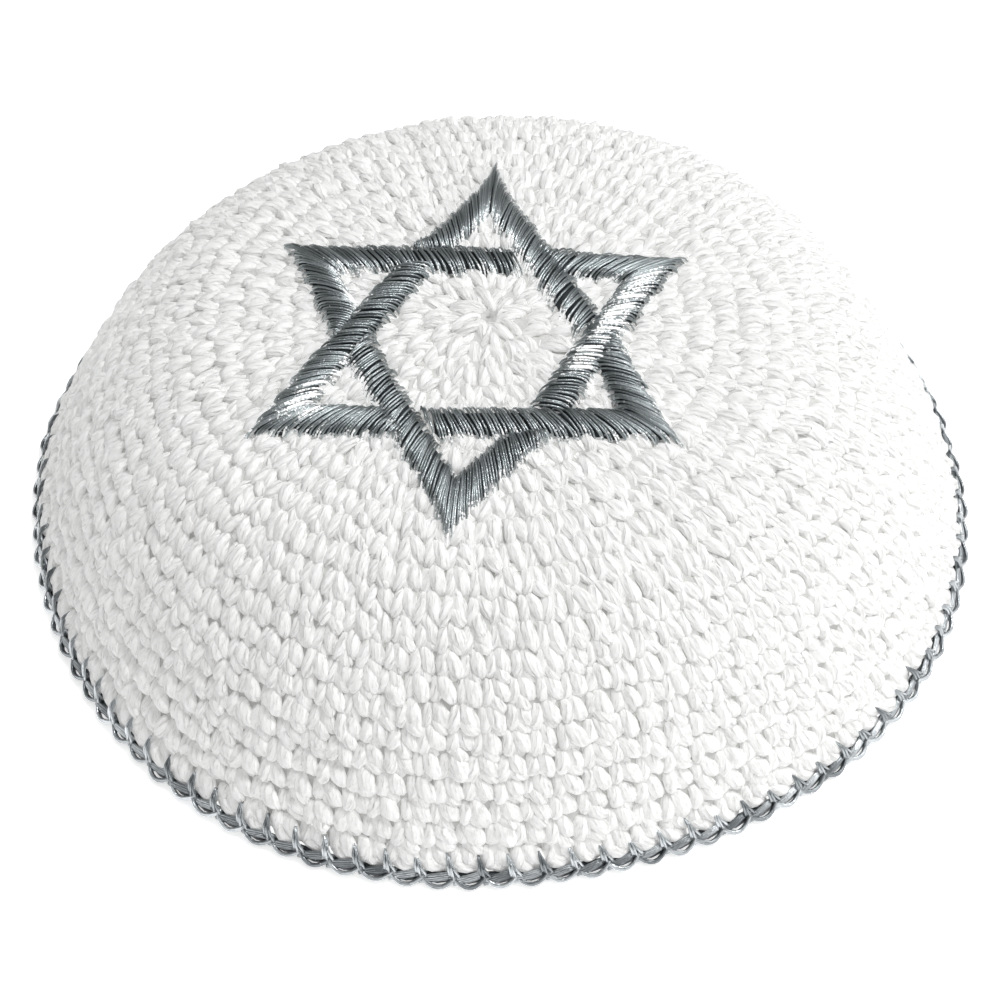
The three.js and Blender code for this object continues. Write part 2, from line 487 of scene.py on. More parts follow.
def tube_mesh(name: str, paths: list[np.ndarray], rings: int, sides: int) -> Mesh:
    """Sweeps a circle along paths of millimetres right, down, out and radius.

    Args:
        name: The mesh's name.
        paths: One array for each tube.
        rings: Rings along a tube.
        sides: Sides round a tube.

    Returns:
        Closed tubes in metres, with x to the right, y up the slope and z out of the cloth, and
        a UV map that holds millimetres along and turns around.
    """
    points, faces, layout = [], [], []
    angle = np.arange(sides) * 2 * pi / sides - pi / 2
    for path in paths:
        rows = smoothed(path, rings)
        middle = rows[:, :3] * (1, -1, 1)
        radius = np.maximum(rows[:, 3], THINNEST)[:, None, None]
        heading = unit(np.gradient(middle, axis=0))
        across = unit(np.cross(heading, (0.0, 0.0, 1.0)))
        over = np.cross(across, heading)
        along = np.concatenate([[0], np.cumsum(np.linalg.norm(np.diff(middle, axis=0), axis=1))])
        ring = (
            middle[:, None]
            + across[:, None] * (np.cos(angle)[:, None] * radius)
            + over[:, None] * (np.sin(angle)[:, None] * radius)
        )
        faces += skin(len(points) * rings * sides, rings, sides, closed=False)
        points.append(ring.reshape(-1, 3) * MM)
        for start, end in zip(along, along[1:]):
            for side in range(sides):
                low, high = side / sides, (side + 1) / sides
                layout += [(start, low), (start, high), (end, high), (end, low)]
        layout += [(0.0, side / sides) for side in reversed(range(sides))]
        layout += [(along[-1], side / sides) for side in range(sides)]
    mesh = bpy.data.meshes.new(name)
    mesh.from_pydata(np.vstack(points).tolist(), [], faces)
    mesh.uv_layers.new(name="UVMap").data.foreach_set("uv", np.ravel(layout))
    mesh.update()
    return mesh


def loft_mesh(name: str, rings: np.ndarray, closed: bool) -> Mesh:
    """Skins rings of points in millimetres.

    Args:
        name: The mesh's name.
        rings: Places by ring, point and axis, each ring a loop.
        closed: True where the last ring joins the first, or else the ends are capped.

    Returns:
        A closed mesh in metres, shaded smooth.
    """
    count, size = rings.shape[:2]
    mesh = bpy.data.meshes.new(name)
    mesh.from_pydata((rings.reshape(-1, 3) * MM).tolist(), [], skin(0, count, size, closed))
    mesh.shade_smooth()
    return mesh


def point_mesh(
    name: str,
    points: np.ndarray,
    values: dict[Attribute, np.ndarray],
    edges: np.ndarray | None = None,
) -> Mesh:
    """Makes a mesh of points that carry values.

    Args:
        name: The mesh's name.
        points: Places in millimetres.
        values: For each attribute, a number or a vector for each point.
        edges: The pairs of points that are joined, if any.

    Returns:
        The mesh, in metres.
    """
    mesh = bpy.data.meshes.new(name)
    mesh.from_pydata((points * MM).tolist(), [] if edges is None else edges.tolist(), [])
    for attribute, rows in values.items():
        kind, field = ("FLOAT", "value") if rows.ndim == 1 else ("FLOAT_VECTOR", "vector")
        layer = mesh.attributes.new(attribute.value, kind, "POINT")
        layer.data.foreach_set(field, rows.ravel())
    return mesh


def seated_points(
    name: str, points: np.ndarray, ways: tuple[np.ndarray, np.ndarray], size: np.ndarray
) -> Mesh:
    """Makes the points that copies are laid on.

    Args:
        name: The mesh's name.
        points: Places in millimetres.
        ways: The unit vectors out of the cloth and up its slope, at each point.
        size: For each point, shares of a copy's width, height and depth as drawn.

    Returns:
        The mesh, in metres.
    """
    values = {Attribute.OUTWARD: ways[0], Attribute.UPHILL: ways[1], Attribute.SIZE: size}
    return point_mesh(name, points, values)


def link_piece(name: str, mesh: Mesh) -> Object:
    """Puts a mesh in the scene as an object at the origin."""
    piece = bpy.data.objects.new(name, mesh)
    bpy.context.scene.collection.objects.link(piece)
    return piece


def settle_piece(piece: Object, slot: Slot, *nodes: str) -> None:
    """Makes a finished piece ride and stand for its nodes, and logs its triangles."""
    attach(piece, "root")
    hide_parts(*nodes)
    triangles = sum(len(face.vertices) - 2 for face in piece.data.polygons)
    LOG.info("%s: %d triangles", piece.name, triangles)


@dataclass(frozen=True)
class YarnRun:
    """A short run of yarn or thread in a repeat, as a closed tube.

    Each row of the path is millimetres right, down the slope and out, and the yarn's radius.
    """

    name: str
    path: tuple[tuple[float, float, float, float], ...]
    rings: int = 7
    sides: int = 8

    def object(self) -> Object:
        """Builds the tube as an object that a tree can repeat."""
        mesh = tube_mesh(self.name, [np.array(self.path)], self.rings, self.sides)
        return bpy.data.objects.new(self.name, mesh)


@dataclass(frozen=True)
class Unevenness:
    """How much the copies in a repeat differ, each its own way."""

    turn: float  # of a copy, to each side, in radians
    size: float  # of a copy, more or less, as a share
    drift: float  # mm that neighbours are moved together
    drift_size: float  # mm, of the waves of that
    lump: float  # mm that the yarn itself is moved
    lump_size: float  # mm, of the waves of that
    seed: int

    def inputs(self) -> dict[str, float]:
        """The repeat's inputs that hold this."""
        return {
            "Turn jitter": self.turn,
            "Size jitter": self.size,
            "Drift": self.drift * MM,
            "Drift size": self.drift_size * MM,
            "Lump": self.lump * MM,
            "Lump size": self.lump_size * MM,
            "Seed": self.seed,
        }


class Pattern(Nodes):
    """A Geometry Nodes tree with named inputs, which grows a piece from a source mesh."""

    def __init__(self, name: str) -> None:
        """Builds the tree, from its inputs to the finished shape."""
        super().__init__(bpy.data.node_groups.new(name, "GeometryNodeTree"))
        self.tree.is_modifier = True
        self.input("Geometry", "NodeSocketGeometry")
        self.tree.interface.new_socket(
            "Geometry", in_out="OUTPUT", socket_type="NodeSocketGeometry"
        )
        self.sizes()
        self.start = self.add("NodeGroupInput")
        result = self.grow(self.given("Geometry"))
        smooth = self.add("GeometryNodeSetShadeSmooth", inputs={0: result})
        realized = self.add("GeometryNodeRealizeInstances", inputs={0: smooth.outputs[0]})
        inputs = {0: realized.outputs[0], "Material": self.given("Finish")}
        dressed = self.add("GeometryNodeSetMaterial", inputs=inputs)
        self.add("NodeGroupOutput", inputs={0: dressed.outputs[0]})

    def input(self, name: str, kind: str) -> None:
        """Gives the tree a named input."""
        self.tree.interface.new_socket(name, in_out="INPUT", socket_type=kind)

    def given(self, name: str) -> NodeSocket:
        """Reads a named input."""
        return self.start.outputs[name]

    def carried(self, attribute: Attribute, kind: str = "FLOAT_VECTOR") -> NodeSocket:
        """Reads a value that the points carry."""
        inputs = {"Name": attribute.value}
        node = self.add("GeometryNodeInputNamedAttribute", {"data_type": kind}, inputs)
        return node.outputs[0]

    def sizes(self) -> None:
        """Each pattern adds its own."""
        self.input("Finish", "NodeSocketMaterial")

    def grow(self, source: NodeSocket) -> NodeSocket:
        """Lays the nodes from the source to the finished shape. Each pattern has its own."""
        return source

    def wander(self, geometry: NodeSocket, size: str, amount: str, seed: float) -> NodeSocket:
        """Moves points by a smooth random field.

        Args:
            geometry: What is moved.
            size: Name of the input that holds the size of the field's waves.
            amount: Name of the input that holds how far a point may go.
            seed: Shifts the field.

        Returns:
            The moved geometry.
        """
        inputs = {
            "Vector": self.add("GeometryNodeInputPosition").outputs[0],
            "W": seed,
            "Scale": self.math("DIVIDE", 1.0, self.given(size)),
            "Detail": 1.0,
        }
        noise = self.add("ShaderNodeTexNoise", {"noise_dimensions": "4D"}, inputs)
        centred = self.vector_math("SUBTRACT", {0: noise.outputs["Color"], 1: (0.5, 0.5, 0.5)})
        offset = self.vector_math("SCALE", {0: centred, "Scale": self.given(amount)})
        moved = self.add("GeometryNodeSetPosition", inputs={0: geometry, "Offset": offset})
        return moved.outputs[0]

    def piece(self, name: str, source: Mesh, values: dict[str, object]) -> Object:
        """Grows a piece and keeps it as a plain mesh.

        Args:
            name: The piece's name.
            source: The mesh that the tree starts from.
            values: The tree's inputs by name.

        Returns:
            The finished object, with no modifier.
        """
        seedling = link_piece(name + "_source", source)
        modifier = seedling.modifiers.new(self.tree.name, "NODES")
        modifier.node_group = self.tree
        for item in self.tree.interface.items_tree:
            if item.in_out == "INPUT" and item.name in values:
                modifier[item.identifier] = values[item.name]
        graph = bpy.context.evaluated_depsgraph_get()
        mesh = bpy.data.meshes.new_from_object(
            seedling.evaluated_get(graph), preserve_all_data_layers=True, depsgraph=graph
        )
        bpy.data.objects.remove(seedling)
        mesh.name = name
        return link_piece(name, mesh)


class RepeatOnCloth(Pattern):
    """Repeats up to three shapes at points on the cloth, each copy a little its own way."""

    shapes = ("First shape", "Second shape", "Third shape")
    seeds_per_shape = 10
    drift_seed = 3.1
    lump_seed = 8.7

    def sizes(self) -> None:
        super().sizes()
        for shape in self.shapes:
            self.input(shape, "NodeSocketObject")
        for name in ("Turn jitter", "Size jitter", "Drift", "Drift size", "Lump", "Lump size"):
            self.input(name, "NodeSocketFloat")
        self.input("Seed", "NodeSocketInt")

    def drawn(self, seed: int, kind: str, inputs: dict[int, object]) -> Node:
        """Draws a random value for each copy, with a seed that is added to the given one."""
        inputs = inputs | {"Seed": self.math("ADD", self.given("Seed"), seed)}
        return self.add("FunctionNodeRandomValue", {"data_type": kind}, inputs)

    def spread(self, seed: int, name: str, middle: float) -> NodeSocket:
        """A random vector for each copy, as far either side of the middle as the named input."""
        drawn = self.drawn(seed, "FLOAT_VECTOR", {0: (-1, -1, -1), 1: (1, 1, 1)})
        inputs = {0: drawn.outputs[0], "Scale": self.given(name)}
        scaled = self.vector_math("SCALE", inputs)
        return self.vector_math("ADD", {0: scaled, 1: (middle, middle, middle)})

    def copies(self, source: NodeSocket, number: int) -> NodeSocket:
        """Lays one of the shapes at every point, set to the cloth, each copy in its own tone."""
        seed = self.seeds_per_shape * number
        shape = {"Object": self.given(self.shapes[number])}
        standing = self.add(
            "FunctionNodeAlignRotationToVector",
            {"axis": "Z"},
            {"Vector": self.carried(Attribute.OUTWARD)},
        )
        facing = self.add(
            "FunctionNodeAlignRotationToVector",
            {"axis": "Y", "pivot_axis": "Z"},
            {0: standing.outputs[0], "Vector": self.carried(Attribute.UPHILL)},
        )
        angles = self.spread(seed + 1, "Turn jitter", 0.0)
        tilt = self.add("FunctionNodeEulerToRotation", inputs={0: angles})
        turned = self.add(
            "FunctionNodeRotateRotation",
            {"rotation_space": "LOCAL"},
            {0: facing.outputs[0], 1: tilt.outputs[0]},
        )
        size = {0: self.carried(Attribute.SIZE), 1: self.spread(seed + 2, "Size jitter", 1.0)}
        laid = self.add(
            "GeometryNodeInstanceOnPoints",
            inputs={
                "Points": source,
                "Instance": self.add("GeometryNodeObjectInfo", inputs=shape).outputs["Geometry"],
                "Rotation": turned.outputs[0],
                "Scale": self.vector_math("MULTIPLY", size),
            },
        )
        tone = self.drawn(seed + 3, "FLOAT", {2: 0.0, 3: 1.0})
        toned = self.add(
            "GeometryNodeStoreNamedAttribute",
            {"data_type": "FLOAT", "domain": "INSTANCE"},
            {0: laid.outputs[0], "Name": Attribute.TONE.value, "Value": tone.outputs[1]},
        )
        return toned.outputs[0]

    def grow(self, source: NodeSocket) -> NodeSocket:
        """Lays each shape, joins them and makes them a little uneven."""
        joined = self.add("GeometryNodeJoinGeometry")
        for number in range(len(self.shapes)):
            self.tree.links.new(self.copies(source, number), joined.inputs[0])
        realized = self.add("GeometryNodeRealizeInstances", inputs={0: joined.outputs[0]})
        drifted = self.wander(realized.outputs[0], "Drift size", "Drift", self.drift_seed)
        return self.wander(drifted, "Lump size", "Lump", self.lump_seed)


class ThreadsAlongPaths(Pattern):
    """Draws a round thread along every chain of edges."""

    kink_seed = 5.3

    def sizes(self) -> None:
        super().sizes()
        self.input("Sides", "NodeSocketInt")
        self.input("Kink", "NodeSocketFloat")
        self.input("Kink size", "NodeSocketFloat")

    def grow(self, source: NodeSocket) -> NodeSocket:
        """Turns the edges to curves and gives them their thickness."""
        bent = self.wander(source, "Kink size", "Kink", self.kink_seed)
        lines = self.add("GeometryNodeMeshToCurve", inputs={0: bent})
        inputs = {"Resolution": self.given("Sides"), "Radius": 1.0}
        circle = self.add("GeometryNodeCurvePrimitiveCircle", inputs=inputs)
        drawn = self.add(
            "GeometryNodeCurveToMesh",
            inputs={
                "Curve": lines.outputs[0],
                "Profile Curve": circle.outputs[0],
                "Scale": self.carried(Attribute.THICKNESS, "FLOAT"),
                "Fill Caps": True,
            },
        )
        return drawn.outputs[0]


@dataclass
class Crown:
    """The crocheted crown: rounds of single crochet, worked from the middle to the rim."""

    form: CapForm
    first_round: float = 6.4
    round_height: float = 4.5
    hole_reach: float = 1.1  # of the small hole in the middle that round one is worked into
    top_rounds: int = 12
    shoulder_rounds: int = 5
    edging_height: float = 3.4
    seat_gap: float = 0.3
    links: int = 101  # of the edging, one between each two of the legs that hold it
    increases: int = 7  # stitches added in each round
    most_stitches: int = 100
    lean: float = 0.16  # of a stitch, that each round is shifted left in front
    stitch_width: float = 4.8  # of the stitch as drawn below
    fullness: float = 0.72  # of the stitches out of the cloth, as a share of how they are drawn
    fullest: tuple[float, float] = (0.8, 1.1)  # least and most that it follows a stitch's size
    yarn_seat: float = -0.82  # of the yarn's middle below the crests
    back_seat: float = -2.35  # of the middle of the bars on the wrong side
    rim_loop_rise: float = 1.9  # of the last loops over the crown's lower edge
    rim_loop_size: tuple[float, float, float] = (1.0, 1.0, 0.8)
    core_lifts: tuple[float, float] = (-1.05, -2.2)
    core_ends: tuple[float, float] = (0.4, 0.6)  # of the core from the middle and from the edge
    core_steps: tuple[int, int] = (60, 120)  # down the slope and round
    unevenness: Unevenness = Unevenness(0.13, 0.09, 0.9, 7.0, 0.7, 1.1, 11)
    left_leg: YarnRun = YarnRun(
        "left_leg",
        (
            (-2.2, 0.3, -1.5, 0.95), (-1.75, 1.2, -0.25, 1.3), (-1.15, 2.2, 0.1, 1.45),
            (-0.5, 3.2, -0.1, 1.35), (0.1, 4.1, -1.4, 0.95),
        ),
    )
    right_leg: YarnRun = YarnRun(
        "right_leg",
        (
            (1.0, 0.5, -1.5, 0.85), (1.3, 1.4, -0.3, 1.1), (1.4, 2.5, 0.1, 1.2),
            (1.35, 3.6, -0.05, 1.15), (1.1, 4.5, -1.4, 0.9),
        ),
    )
    next_loop: YarnRun = YarnRun(
        "next_loop",
        (
            (1.7, 2.3, -1.2, 0.7), (2.5, 3.4, -0.6, 1.15), (3.4, 4.3, -0.4, 1.25),
            (4.5, 5.1, -1.0, 0.8),
        ),
        rings=5,
        sides=7,
    )
    rim_loop: YarnRun = YarnRun(
        "rim_loop",
        (
            (-3.0, 0.0, -0.9, 0.7), (-2.0, 0.8, -0.1, 1.25), (-0.4, 1.7, 0.1, 1.35),
            (1.3, 2.1, -0.7, 0.95),
        ),
    )
    back_bar: YarnRun = YarnRun(
        "back_bar",
        (
            (-2.3, 1.9, 0.3, 0.5), (-1.2, 1.5, -0.15, 0.72), (0.2, 1.4, -0.2, 0.75),
            (1.5, 1.7, 0.1, 0.6),
        ),
        rings=5,
        sides=6,
    )
    back_leg: YarnRun = YarnRun(
        "back_leg",
        ((0.9, 0.9, 0.3, 0.4), (0.5, 2.4, -0.05, 0.7), (0.0, 4.3, 0.3, 0.45)),
        rings=4,
        sides=6,
    )

    def __post_init__(self) -> None:
        """Works out the rounds between the middle and the edging."""
        self.reach = self.form.slope_length - self.edging_height - self.seat_gap
        self.rounds = round((self.reach - self.first_round) / self.round_height) + 1
        self.pitch = (self.reach - self.first_round) / (self.rounds - 1)

    def stitches(self, first: int, last: int, lift: float) -> Mesh:
        """Places a point at the top of each stitch of some rounds.

        Args:
            first: The first of the rounds, counted from one.
            last: The last of them.
            lift: How far out from the crests the points lie.

        Returns:
            The points, with how the cloth lies and how large each stitch is.
        """
        rounds = []
        for number in range(first, last + 1):
            count = min(self.increases * number, self.most_stitches)
            top = self.hole_reach if number == 1 else self.first_round + (number - 2) * self.pitch
            height = self.first_round - top if number == 1 else self.pitch
            turn = (np.arange(count) - self.lean * number % 1) * 2 * pi / count
            middle = np.full(count, top + height / 2)
            width = self.form.width(middle, turn, count) / self.stitch_width
            tops, heights = np.full(count, top), np.full(count, height / self.round_height)
            rounds.append((tops, turn, width, heights))
        reach, turn, width, height = (np.concatenate(rows) for rows in zip(*rounds))
        half = height * self.round_height / 2
        ways = self.form.directions(reach + half, turn)
        top = self.form.place(reach + half, turn, lift) + ways[1] * half[:, None]
        thick = self.fullness * np.clip((width + height) / 2, *self.fullest)
        return seated_points("stitches", top, ways, np.stack([width, height, thick], axis=1))

    def last_loops(self) -> Mesh:
        """Places a point for each loop that ends the last round, over the edging's links."""
        turn = np.arange(self.links) * 2 * pi / self.links
        reach = np.full(self.links, self.reach - self.rim_loop_rise)
        points = self.form.place(reach, turn, self.yarn_seat)
        size = np.tile(self.rim_loop_size, (self.links, 1))
        return seated_points("last_loops", points, self.form.directions(reach, turn), size)

    def core(self) -> Mesh:
        """The yarn between the two faces: a closed shell that stops light in the gaps."""
        down, around = self.core_steps
        reach = np.linspace(self.core_ends[0], self.reach - self.core_ends[1], down)
        turn = np.linspace(0, 2 * pi, around, endpoint=False)
        outer = self.form.place(reach[None, :], turn[:, None], self.core_lifts[0])
        inner = self.form.place(reach[None, ::-1], turn[:, None], self.core_lifts[1])
        return loft_mesh("crown_core", np.concatenate([outer, inner], axis=1), closed=True)

    def build(self, repeat: RepeatOnCloth, yarn: CottonYarn, ground: CottonGround) -> None:
        """Builds and dresses the crown's pieces."""
        sizes = {"Finish": yarn.build(), **self.unevenness.inputs()}
        legs = [run.object() for run in (self.left_leg, self.right_leg, self.next_loop)]
        bars = [run.object() for run in (self.back_bar, self.back_leg)]
        top, shoulder = self.top_rounds, self.top_rounds + self.shoulder_rounds
        front, back = self.yarn_seat, self.back_seat
        for name, source, shapes in (
            ("crown_top_rounds", self.stitches(1, top, front), legs),
            ("crown_shoulder_rounds", self.stitches(top + 1, shoulder, front), legs),
            ("crown_side_rounds", self.stitches(shoulder + 1, self.rounds, front), legs),
            ("crown_last_loops", self.last_loops(), [self.rim_loop.object()]),
            ("crown_wrong_side", self.stitches(1, self.rounds, back), bars),
        ):
            shown = dict(zip(repeat.shapes, shapes))
            settle_piece(repeat.piece(name, source, sizes | shown), Slot.COTTON, "crown")
        core = self.core()
        core.materials.append(ground.build())
        settle_piece(link_piece("crown_core", core), Slot.COTTON, "crown")


@dataclass
class Edging:
    """The crocheted edging of metallic thread, which the cap rests on.

    The rows of the scallop and of the bridge are millimetres right, down the slope and out, and
    those of their fans are how far down and out each strand lies from the bundle's middle. Each
    row of a leg ends with the thread's radius.
    """

    form: CapForm
    height: float = 3.4
    links: int = 101
    link_length: float = 5.3
    strand: float = 0.28  # radius
    strand_mesh: tuple[int, int] = (9, 6)  # rings and sides
    leg_mesh: tuple[int, int] = (7, 5)
    clear: float = 0.25  # of the lowest threads over the floor
    seat: float = 0.9  # of the thread's middle behind the crests
    core_top: float = 0.7  # of the threads inside, below the top of the edging
    core_bottom: float = 0.65  # above the floor, in the mean
    core_wave: float = -0.35  # how much lower it is behind a scallop
    core_lift: float = -0.7
    core_depth: float = 0.7
    core_sides: int = 8
    core_steps: int = 4  # for each link
    unevenness: Unevenness = Unevenness(0.05, 0.05, 0.3, 9.0, 0.2, 1.5, 23)
    scallop: tuple[tuple[float, float, float], ...] = (
        (-3.1, 1.0, 0.5), (-2.2, 2.0, 1.1), (-1.1, 2.6, 1.6), (0.0, 2.8, 1.8), (1.1, 2.6, 1.7),
        (2.2, 1.9, 1.4), (3.2, 0.9, 1.0),
    )
    scallop_fan: tuple[tuple[float, float], ...] = ((0.0, 0.0), (0.12, -0.42), (-0.36, 0.1))
    bridge: tuple[tuple[float, float, float], ...] = (
        (-2.9, 2.0, 0.8), (-1.6, 1.5, 1.2), (0.2, 0.9, 1.3), (2.0, 0.6, 1.1), (3.4, 1.3, 0.5),
    )
    bridge_fan: tuple[tuple[float, float], ...] = (
        (0.0, 0.0), (0.4, 0.0), (-0.38, -0.1), (0.8, -0.2),
    )
    legs: tuple[tuple[tuple[float, float, float, float], ...], ...] = (
        ((-3.8, -3.2, 0.4, 0.15), (-3.7, -1.6, 1.6, 0.22), (-3.4, 0.8, 1.3, 0.25)),
        ((-3.75, -3.1, 0.3, 0.15), (-3.2, -1.4, 1.65, 0.22), (-2.7, 0.9, 1.5, 0.25)),
        ((-3.7, -3.0, 0.2, 0.15), (-2.7, -1.1, 1.65, 0.22), (-1.6, 0.8, 1.5, 0.25)),
        ((-3.8, -2.9, 0.2, 0.15), (-3.5, -1.2, 1.4, 0.22), (-3.0, 0.8, 1.3, 0.25)),
    )

    def __post_init__(self) -> None:
        """Finds the reach at which the edging starts."""
        self.top = self.form.slope_length - self.height - self.clear

    def strands(self, name: str, middle: tuple[tuple, ...], fan: tuple[tuple, ...]) -> Object:
        """Builds strands that run side by side.

        Args:
            name: The object's name.
            middle: The path of the bundle: right, down the slope, out.
            fan: For each strand, how far down and out it lies from the bundle's middle.

        Returns:
            The strands as one object.
        """
        paths = [
            np.array([(x, d + down, o + out, self.strand) for x, d, o in middle])
            for down, out in fan
        ]
        return bpy.data.objects.new(name, tube_mesh(name, paths, *self.strand_mesh))

    def source(self) -> Mesh:
        """Places a point at the top of each link."""
        turn = np.arange(self.links) * 2 * pi / self.links
        reach = np.full(self.links, self.top)
        width = self.form.width(reach, turn, self.links) / self.link_length
        size = np.stack([width, np.ones(self.links), np.ones(self.links)], axis=1)
        points = self.form.place(reach, turn, -self.seat)
        return seated_points("edging_links", points, self.form.directions(reach, turn), size)

    def core(self) -> Mesh:
        """The edging's inside threads in painted shade: a closed ring, lower behind each scallop.
        """
        around = np.linspace(0, 2 * pi, self.core_steps * self.links, endpoint=False)
        section = np.arange(self.core_sides) * 2 * pi / self.core_sides
        wave = self.core_wave * np.cos(self.links * around)
        bottom = self.form.slope_length - self.core_bottom - wave
        middle = (bottom + self.top + self.core_top) / 2
        half = (bottom - self.top - self.core_top) / 2
        reach = middle[:, None] - half[:, None] * np.cos(section)
        lift = self.core_lift + self.core_depth * np.sin(section)[None, :]
        rings = self.form.place(reach, around[:, None], lift)
        return loft_mesh("edging_core", rings, closed=True)

    def build(
        self, repeat: RepeatOnCloth, thread: MetallicThread, inside: MetallicThread
    ) -> None:
        """Builds and dresses the edging."""
        sizes = {"Finish": thread.build(), **self.unevenness.inputs()}
        scallop = self.strands("scallop", self.scallop, self.scallop_fan)
        bridge = self.strands("bridge", self.bridge, self.bridge_fan)
        paths = [np.array(path) for path in self.legs]
        legs = bpy.data.objects.new("legs", tube_mesh("legs", paths, *self.leg_mesh))
        shapes = dict(zip(repeat.shapes, (scallop, bridge, legs)))
        chain = repeat.piece("edging_chain", self.source(), sizes | shapes)
        settle_piece(chain, Slot.THREAD, "edging")
        core = self.core()
        # painted shade: a darker lurex than the chain's
        core.materials.append(inside.build())
        settle_piece(link_piece("edging_core", core), Slot.THREAD, "edging")


@dataclass(frozen=True)
class Threads:
    """The threads of a strand on the flat cloth."""

    start: np.ndarray  # of each thread, at the outer edge
    end: np.ndarray  # at the inner edge
    leg: np.ndarray  # 0 before the tip and 1 after it
    along: np.ndarray  # mm along the outer edge, from the tip


@dataclass(frozen=True)
class GlintPatch:
    """A patch of a strand whose film lies towards the lamps, painted full of white glint spots."""

    strand: int  # counted from nought at the back tip
    leg: int  # 0 before the tip and 1 after it
    start: float  # mm along the outer edge, from the tip
    end: float
    across: float  # where its middle lies, from 0 at the outer edge to 1 at the inner one
    spread: float  # to each side of that
    start_fade: float = 2.0
    end_fade: float = 3.0
    side_fade: float = 0.4  # as a share of the spread, to each side of it

    def amounts(self, threads: Threads, share: np.ndarray) -> np.ndarray:
        """Works out how much the patch covers of each thread, at each share of its length."""
        ends = (self.start - self.start_fade, self.start, self.end, self.end + self.end_fade)
        covered = np.interp(threads.along, ends, (0, 1, 1, 0)) * (threads.leg == self.leg)
        sides = (1 - self.side_fade) * self.spread, (1 + self.side_fade) * self.spread
        return covered[:, None] * np.interp(np.abs(share - self.across), sides, (1, 0))


@dataclass
class Star:
    """The star: two interlaced triangles in satin stitch, six strands that pass over and under.

    Each row of its points is a tip and the crossing that follows it, clockwise from the back
    tip: the reaches as shares of the star's radius, the angles in degrees from the right side.
    Each row of the arch is a share of a thread's length and how high it is there.
    """

    form: CapForm
    radius: float = 34.6
    right: float = -2.5
    back: float = -5.9
    band_width: float = 5.7
    tuck: float = 0.9  # of a strand's end under the strand that crosses it
    spacing: float = 0.62  # of the threads along the outer edge
    uneven: float = 0.25  # of the spacing, that a thread may be off to each side
    thread: float = 0.195  # radius
    thinning: float = 0.3  # of a thread's radius, towards its ends
    crest: float = 1.35  # of the threads' middle over the crests, along the band
    crest_spread: float = 0.25
    dive: float = -0.7  # of a thread's end below the crests
    sweep: float = 7.0  # the most that a thread's inner end lags behind its outer end
    sweep_reach: float = 16.0
    ragged: float = 0.8
    ragged_range: tuple[float, float] = (-0.3, 1.0)  # of a thread's end, as shares of that
    inner_reach: float = 0.15  # of the threads past the inner edge
    overshoot: tuple[float, ...] = (4.2, 1.1, 0.9, 1.4, 1.0, 1.7)  # of the threads at each tip
    overshoot_reach: float = 2.2  # from the tip, over which the overshoot fades
    bunching: float = 0.55  # how far the threads lean together, in bunches
    bunch_length: float = 1.8
    shortest: float = 0.8  # thread that is still laid
    steps: int = 13  # points along a thread
    sides: int = 7  # of a thread
    kink: float = 0.25
    kink_size: float = 1.4
    tones: tuple[float, float] = (0.05, 0.65)  # of the threads away from a glint
    patch_glint: float = 0.25  # painted glint: how much lighter a thread is in a glint patch
    patch_range: tuple[float, float] = (0.3, 1.0)  # of the threads that share a patch
    pad_share: float = 0.86  # of the band's width
    pad_edge: float = -0.3  # lift of the underlay at its edges
    pad_top: float = 0.85
    pad_bottom: float = -0.9
    pad_shoulder: float = 0.2  # of its width, from the edge to the flat top
    pad_sides: int = 7  # points across it
    pad_steps: tuple[int, int] = (14, 24)  # before the tip and after it
    patches: tuple[GlintPatch, ...] = (
        GlintPatch(0, 1, 9.0, 36.0, 0.94, 0.12),
        GlintPatch(1, 1, 3.0, 30.0, 0.45, 0.3),
        GlintPatch(3, 1, 22.0, 38.0, 0.08, 0.13),
        GlintPatch(4, 0, 1.0, 6.0, 0.6, 0.24),
        GlintPatch(4, 1, 1.0, 8.0, 0.72, 0.26),
        GlintPatch(4, 1, 9.0, 19.0, 0.94, 0.12),
        GlintPatch(5, 0, 9.0, 18.0, 0.94, 0.12),
    )
    seed: int = 5
    crest_seed: int = 50  # added for the draws of the crests
    shine_seed: int = 80  # added for those of the shine
    points: tuple[tuple[float, float, float, float], ...] = (
        (1.011, 85.4, 0.593, 60.8), (1.0, 27.9, 0.593, 2.3), (0.978, -33.0, 0.615, -58.2),
        (0.995, -95.7, 0.604, -117.8), (1.041, -152.5, 0.59, 179.5), (0.985, 146.0, 0.595, 115.2),
    )
    arch: tuple[tuple[float, float], ...] = (
        (0, 0), (0.04, 0.42), (0.13, 0.76), (0.28, 0.96), (0.5, 1), (0.72, 0.96), (0.87, 0.76),
        (0.96, 0.42), (1, 0),
    )

    def __post_init__(self) -> None:
        """Finds the tips and crossings on the flat cloth, and the points along a thread."""
        rows = np.array(self.points)
        angles = np.radians(rows[:, [1, 3]])
        reach = rows[:, [0, 2]] * self.radius
        flat = np.stack([reach * np.cos(angles), reach * np.sin(angles)], axis=-1)
        self.tips, self.crossings = flat[:, 0], flat[:, 1]
        self.clear = self.band_width / 2 - self.tuck
        self.share = (1 - np.cos(np.linspace(0, pi, self.steps))) / 2
        self.height = np.interp(self.share, *np.array(self.arch).T)

    def edge(self, number: int, side: float) -> list[np.ndarray]:
        """A line beside strand number, from its start round the tip to its end.

        Args:
            number: The strand, counted from nought at the back tip.
            side: 1 for the outer edge and -1 for the inner one.

        Returns:
            Where the line starts, turns and ends.
        """
        start, tip = self.crossings[number - 1], self.tips[number]
        end = self.crossings[(number + 1) % len(self.tips)]
        offset = side * self.band_width / 2
        first, second = unit(tip - start), unit(end - tip)
        left_in, left_out = np.array([-first[1], first[0]]), np.array([-second[1], second[0]])
        bisector = unit(left_in + left_out)
        corner = tip + bisector * offset / (bisector @ left_out)
        return [start + left_in * offset, corner, end + left_out * offset]

